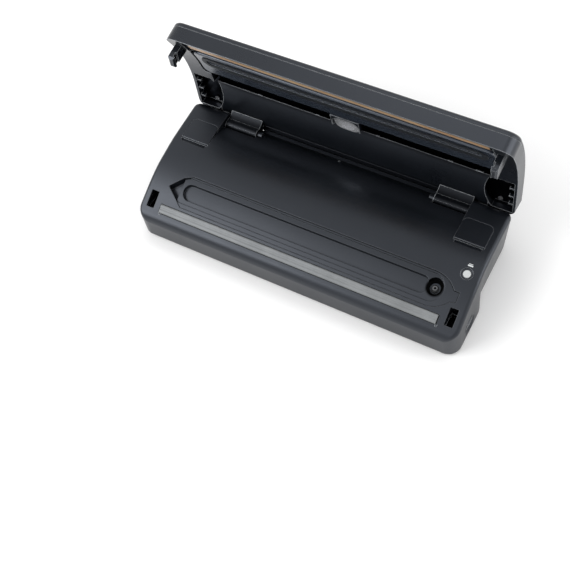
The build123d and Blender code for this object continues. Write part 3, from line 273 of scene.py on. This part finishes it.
def tape_cloth(name, colour):
    """Coated glass cloth over the heating wire: tight plain weave, browner in patches."""
    m = Nodes(name)
    edge, rounded = m.edges(0.15 * MM)
    warp = m.waves(520.0, "X")
    weft = m.waves(520.0, "Y")
    weave = m.math("MULTIPLY", warp, weft)
    heat = m.noise(16.0, 5.0, 0.65, (1.0, 0.2, 0.2))
    body = m.mix(m.span(heat, 0, 1, 0.35, 0.72), shade(colour, 1.12), (0.33, 0.19, 0.10))
    body = m.mix(m.span(weave, 0.0, 0.35), body, shade(colour, 1.25))
    wrinkles = m.noise(260.0, 2.0, 0.5, (0.25, 1.5, 1.5))
    m.bumps(rounded, (weave, 0.00003, 0.4), (wrinkles, 0.00018, 0.35))
    return m.finish(body, m.span(heat, 0.34, 0.5))


def circuit_board(name, colour):
    """Lacquered board with copper tracks showing through."""
    m = Nodes(name)
    crossing = m.math("MULTIPLY", m.waves(90.0, "X", 6.0), m.waves(70.0, "Y", 5.0))
    tracks = m.span(crossing, 0, 1, 0.2, 0.3)
    body = m.mix(tracks, colour, shade(colour, 1.9))
    m.bumps(None, (tracks, 0.00004, 0.4))
    dull = m.math("MULTIPLY", m.noise(80.0), 0.3)
    return m.finish(m.mix(dull, body, shade(colour, 0.6)), 0.32)


CHARCOAL = (0.0040, 0.0050, 0.0068)
BLACK = (0.004, 0.004, 0.0045)
shell = moulded("shell_plastic", CHARCOAL, 0.34)
inner = moulded("inner_plastic", shade(CHARCOAL, 1.2), 0.30, grain=2200.0, edge_mm=0.9, edge_highlight_level=0.65,
                lid_inside=True)
under = moulded("underside_plastic", shade(CHARCOAL, 0.9), 0.42, grain=1500.0)
pads = moulded("deck_pad_plastic", CHARCOAL, 0.30, grain=2000.0, edge_mm=0.45, edge_highlight_level=0.55)
arms = moulded("arm_plastic", shade(CHARCOAL, 0.5), 0.34, grain=2400.0, edge_mm=1.0, edge_highlight_level=0.7,
               specular=0.22)
trim = moulded("trim_plastic", shade(CHARCOAL, 0.9), 0.24, edge_mm=1.0, edge_highlight_level=0.5)
# painted reflection: the gasket plate is the charcoal brightened fivefold
plate = moulded("gasket_plate_plastic", shade(CHARCOAL, 5.0), 0.22, grain=3000.0, edge_highlight_level=0.2,
                specular=0.9)
tray = moulded("tray_plastic", shade(CHARCOAL, 0.9), 0.38, grain=1800.0, edge_highlight_level=0.03,
               shaded_spot=NOZZLE)
# painted reflection: the glossy black dish gets a pale grey half-metal colour standing in for the
# bright reflection it shows
dish = glossy("dish_plastic", (0.55, 0.56, 0.58), 0.20, 1.0)
dish.node_tree.nodes["Principled BSDF"].inputs["Metallic"].default_value = 0.6
black_gloss = glossy("black_gloss", BLACK, 0.10)
white_gloss = glossy("white_button_plastic", (0.58, 0.60, 0.60), 0.28)
key_gloss = glossy("key_plastic", (0.22, 0.225, 0.23), 0.25)
lens = glossy("lens_plastic", (0.06, 0.30, 0.10), 0.10)
foam = rubbery("foam_rubber", (0.0055, 0.0065, 0.0085), 0.6, 1900.0, 0.00004)
rubber = rubbery("foot_rubber", (0.012, 0.012, 0.012), 0.62)
silicone = rubbery("strip_silicone", (0.20, 0.207, 0.21), 0.38, 2600.0, 0.00002, 0.5)
steel = metal("screw_steel", (0.52, 0.52, 0.53), 0.28)
oxide = metal("black_oxide_steel", (0.045, 0.045, 0.05), 0.38)
wire = metal("spring_steel", (0.55, 0.55, 0.55), 0.22, (1, 1, 12))
motor = metal("motor_can", (0.50, 0.50, 0.50), 0.30, (1, 14, 14))
iron = metal("core_iron", (0.10, 0.10, 0.11), 0.5, (0.2, 30, 0.2), 90.0)
copper = metal("copper_winding", (0.55, 0.22, 0.09), 0.30, (0.2, 0.2, 30), 300.0)
tape = tape_cloth("tape_cloth", (0.42, 0.285, 0.165))
board = circuit_board("board_lacquer", (0.01, 0.075, 0.03))
parts_black = moulded("component_plastic", (0.012, 0.012, 0.013), 0.45)
pump_grey = moulded("pump_plastic", (0.10, 0.10, 0.10), 0.5)
printed = moulded("printed_white", (0.62, 0.64, 0.64), 0.55, grain=5000.0, edge_mm=0.1)

FINISHES = {
    "base_housing": shell, "lid_cover": shell, "base_cover": under, "lid_frame": inner,
    "left_deck_pad": pads, "right_deck_pad": pads, "drip_tray": tray,
    "left_release_button": trim, "right_release_button": trim, "left_hook": trim,
    "right_hook": trim, "left_hinge_arm": arms, "right_hinge_arm": arms,
    "gasket_plate": plate, "heat_bar": trim, "lid_dish": dish,
    "control_panel": black_gloss, "canister_switch": parts_black, "rubber_feet": rubber,
    "lid_gasket": foam, "nozzle_grommet": rubber, "vacuum_hose": rubber,
    "sealing_strip": silicone, "base_screws": steel, "lid_screws": steel,
    "left_hinge_pin": oxide, "right_hinge_pin": oxide, "heating_element": steel,
    "button_spring": wire, "left_release_spring": wire, "right_release_spring": wire,
    "vacuum_nozzle": pump_grey, "pump_body": pump_grey, "pump_motor": motor,
    "pump_bracket": motor, "transformer_core": iron, "transformer_coil": copper,
    "control_board": board, "panel_board": board, "board_parts": parts_black,
    "power_inlet": parts_black, "canister_button": white_gloss, "switch_legend": printed,
    "vacuum_button": key_gloss, "seal_button": key_gloss, "heater_tape": tape,
    "indicator_lenses": lens,
}
for name, node in nodes.items():
    node.data.materials.clear()
    node.data.materials.append(FINISHES[name])


# ---- mesh pieces --------------------------------------------------------------------
def piece(name, build, material, body):
    """A new mesh piece made by build(bmesh), riding on a body."""
    mesh = bpy.data.meshes.new(name)
    work = bmesh.new()
    build(work)
    bmesh.ops.recalc_face_normals(work, faces=work.faces)
    work.to_mesh(mesh)
    work.free()
    for face in mesh.polygons:
        face.use_smooth = False
    mesh.materials.append(material)
    made = bpy.data.objects.new(name, mesh)
    bpy.context.scene.collection.objects.link(made)
    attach(made, body)
    return made


def shut(x, y, z):
    """Where a point given for the shut lid, in mm, is on the open lid."""
    turn = Matrix.Rotation(-OPENING, 3, "X")
    return HINGE + turn @ (Vector((x, y, z)) * MM - HINGE)


def ring(work, centre, normal, radius, width, height, steps=40):
    """Raised ring round a point, with a rounded top, standing on a face."""
    normal = normal.normalized()
    side = normal.orthogonal().normalized()
    other = normal.cross(side)
    profile = [(radius + width, 0.0), (radius + width * 0.85, height * 0.8),
               (radius + width * 0.5, height), (radius + width * 0.15, height * 0.8), (radius, 0.0)]
    loops = []
    for i in range(steps):
        angle = 2 * math.pi * i / steps
        out = side * math.cos(angle) + other * math.sin(angle)
        loops.append([work.verts.new(centre + out * r + normal * h) for r, h in profile])
    for i in range(steps):
        here, after = loops[i], loops[(i + 1) % steps]
        for j in range(len(profile) - 1):
            work.faces.new((here[j], after[j], after[j + 1], here[j + 1]))
        work.faces.new((here[-1], after[-1], after[0], here[0]))


def bar(work, corners, low, high, bevel=0.15 * MM):
    """Bevelled slab over a flat outline of points, from low to high along its normal."""
    normal = (corners[1] - corners[0]).cross(corners[2] - corners[0]).normalized()
    bottom = [work.verts.new(c + normal * low) for c in corners]
    top = [work.verts.new(c + normal * high) for c in corners]
    faces = [work.faces.new(bottom[::-1]), work.faces.new(top)]
    for i in range(len(corners)):
        j = (i + 1) % len(corners)
        faces.append(work.faces.new((bottom[i], bottom[j], top[j], top[i])))
    edges = {e for f in faces for e in f.edges}
    bmesh.ops.bevel(work, geom=list(edges), offset=bevel, segments=2, affect="EDGES")


# ---- small moulded details ----------------------------------------------------------
# Millimetres. Those on the lid are given for the shut lid.
TRENCH_TABS = ((-103, 5), (-35, 4), (34, 3), (113, 5), (144, 8))    # middle, length
TAB_Y, TAB_LOW, TAB_HIGH = 13.9, 67.6, 68.9
GATE_MARK = (-8, 65.6, 49.95)
GRIP_Y, GRIP_Z, GRIP_PITCH = -38, 16.5, 2.4
GRIP_FACE = 185.45              # just under the skin of the release button's cap
VACUUM_KEY_X, SEAL_KEY_X = 66, 126
KEY_FACE_Z = 86.15
FRONT_SLOPE = math.tan(math.radians(25))
SLOPE_TOP_Y, SLOPE_TOP_Z = -44.73, 47.54    # where the sloped front of the deck starts
DECK_CREST_Y, DECK_TOP, DECK_R = 25.0, 63.0, 165.0
BUTTON_X, BUTTON_Y = 170.2, -9.5


def at(x, y, z):
    """A point on the base, given in mm."""
    return Vector((x, y, z)) * MM


def lid_tabs(work):
    """Small tabs along the rear edge of the trench in the lid."""
    for x, length in TRENCH_TABS:
        corners = [shut(x + dx * length / 2, TAB_Y, z) for dx, z in
                   ((-1, TAB_LOW), (1, TAB_LOW), (1, TAB_HIGH), (-1, TAB_HIGH))]
        bar(work, corners, -0.5 * MM, 0.7 * MM, 0.12 * MM)


def hinge_dot(work):
    """Gate mark on the roll in front of the hinge."""
    slope = Vector((0, 0.58, 0.81))
    ring(work, at(*GATE_MARK), slope, 0.9 * MM, 0.5 * MM, 0.35 * MM, 24)


def release_grip(side):
    """Five upright ribs on the release button of one side."""
    def build(work):
        for i in range(-2, 3):
            y, half = GRIP_Y + GRIP_PITCH * i, 2.6 - 0.3 * abs(i)
            corners = [at(side * GRIP_FACE, y + side * dy, GRIP_Z + dz) for dy, dz in
                       ((-0.5, -half), (0.5, -half), (0.5, half), (-0.5, half))]
            bar(work, corners, 0.0, 0.5 * MM, 0.2 * MM)
    return build


def outward():
    """Direction out of the lid's top face once it is open."""
    return (shut(0, 0, 1) - shut(0, 0, 0)).normalized()


def vacuum_mark(work):
    """Ring on the vacuum key."""
    ring(work, shut(VACUUM_KEY_X, 41, KEY_FACE_Z), outward(), 2.1 * MM, 0.6 * MM, 0.35 * MM)


def seal_mark(work):
    """Two bars on the seal key."""
    for y in (39.4, 42.6):
        corners = [shut(SEAL_KEY_X + dx, y + dy, KEY_FACE_Z) for dx, dy in
                   ((-2.6, -0.45), (2.6, -0.45), (2.6, 0.45), (-2.6, 0.45))]
        bar(work, corners, 0.0, 0.35 * MM, 0.12 * MM)


def strip_ticks(work):
    """Angled ticks moulded in the deck in front of the strip's two ends."""
    for x in (-160, 161):
        for lean, start in ((0.9, -1.2), (-0.5, 1.4)):
            points = [(x + start, -62.2), (x + start + 0.7, -62.2),
                      (x + start + lean + 0.7, -64.8), (x + start + lean, -64.8)]
            corners = [at(px, py, SLOPE_TOP_Z + (py - SLOPE_TOP_Y) * FRONT_SLOPE)
                       for px, py in reversed(points)]
            bar(work, corners, -0.1 * MM, 0.25 * MM, 0.1 * MM)


def button_ring(work):
    """Thin bright lip round the canister button's countersink."""
    run = DECK_CREST_Y - BUTTON_Y
    tilt = math.asin(run / DECK_R)
    normal = Vector((0, -math.sin(tilt), math.cos(tilt)))
    height = DECK_TOP - DECK_R + math.sqrt(DECK_R ** 2 - run ** 2)
    ring(work, at(BUTTON_X, BUTTON_Y, height), normal, 6.15 * MM, 0.35 * MM, 0.12 * MM, 64)


piece("lid_trench_tabs", lid_tabs, trim, "lid")
piece("hinge_gate_mark", hinge_dot, trim, "base")
piece("left_release_grip", release_grip(-1), trim, "left_release")
piece("right_release_grip", release_grip(1), trim, "right_release")
piece("vacuum_key_mark", vacuum_mark, printed, "vacuum_key")
piece("seal_key_mark", seal_mark, printed, "seal_key")
piece("strip_end_ticks", strip_ticks, trim, "base")
piece("button_ring", button_ring, trim, "base")


# ---- studio -------------------------------------------------------------------------
FLOOR_REACH = 6.0


def make_stage():
    """Pale floor under the object."""
    mesh = bpy.data.meshes.new("floor")
    corners = [(x * FLOOR_REACH, y * FLOOR_REACH, 0)
               for x, y in ((-1, -1), (1, -1), (1, 1), (-1, 1))]
    mesh.from_pydata(corners, [], [(0, 1, 2, 3)])
    floor = bpy.data.objects.new("floor", mesh)
    bpy.context.scene.collection.objects.link(floor)
    m = Nodes("pale_floor")
    cloud = m.noise(2.0)
    mesh.materials.append(m.finish(m.mix(cloud, (0.93, 0.93, 0.93), (0.95, 0.95, 0.95)), 0.7))


def area_light(name, place, target, size, power):
    """White rectangular softbox turned to a target."""
    data = bpy.data.lights.new(name, "AREA")
    data.shape = "RECTANGLE"
    data.size, data.size_y = size
    data.energy = power
    lamp = bpy.data.objects.new(name, data)
    lamp.location = place
    lamp.rotation_euler = (Vector(target) - Vector(place)).to_track_quat("-Z", "Y").to_euler()
    bpy.context.scene.collection.objects.link(lamp)


make_stage()
MIDDLE = (0.0, 0.0, 0.06)
area_light("key_softbox", (-1.3, -1.1, 1.5), MIDDLE, (1.4, 1.4), 26.0)
area_light("rim_softbox", (1.9, 0.6, 0.9), MIDDLE, (0.9, 1.4), 12.0)
area_light("top_softbox", (0.1, 0.9, 1.9), MIDDLE, (1.8, 0.8), 5.0)
world = bpy.data.worlds.new("studio")
world.use_nodes = True
world.node_tree.nodes["Background"].inputs["Color"].default_value = (1.0, 1.0, 1.0, 1)
world.node_tree.nodes["Background"].inputs["Strength"].default_value = 0.85
bpy.context.scene.world = world
bpy.context.scene.view_settings.view_transform = "Standard"

# ---- camera -------------------------------------------------------------------------
CAMERA_AT = Vector((0.3683, -0.4860, 0.9872))
FORWARD = Vector((-0.3322, 0.3678, -0.8685)).normalized()
RIGHT = Vector((0.8724, 0.4699, -0.1347))
RIGHT = (RIGHT - FORWARD * RIGHT.dot(FORWARD)).normalized()
UP = RIGHT.cross(FORWARD)
camera_data = bpy.data.cameras.new("camera")
camera_data.sensor_width = 36.0
camera_data.lens = 68.34
camera_data.clip_start = 0.01
camera = bpy.data.objects.new("camera", camera_data)
camera.matrix_world = Matrix((
    (RIGHT.x, UP.x, -FORWARD.x, CAMERA_AT.x),
    (RIGHT.y, UP.y, -FORWARD.y, CAMERA_AT.y),
    (RIGHT.z, UP.z, -FORWARD.z, CAMERA_AT.z),
    (0, 0, 0, 1)))
bpy.context.scene.collection.objects.link(camera)
bpy.context.scene.camera = camera
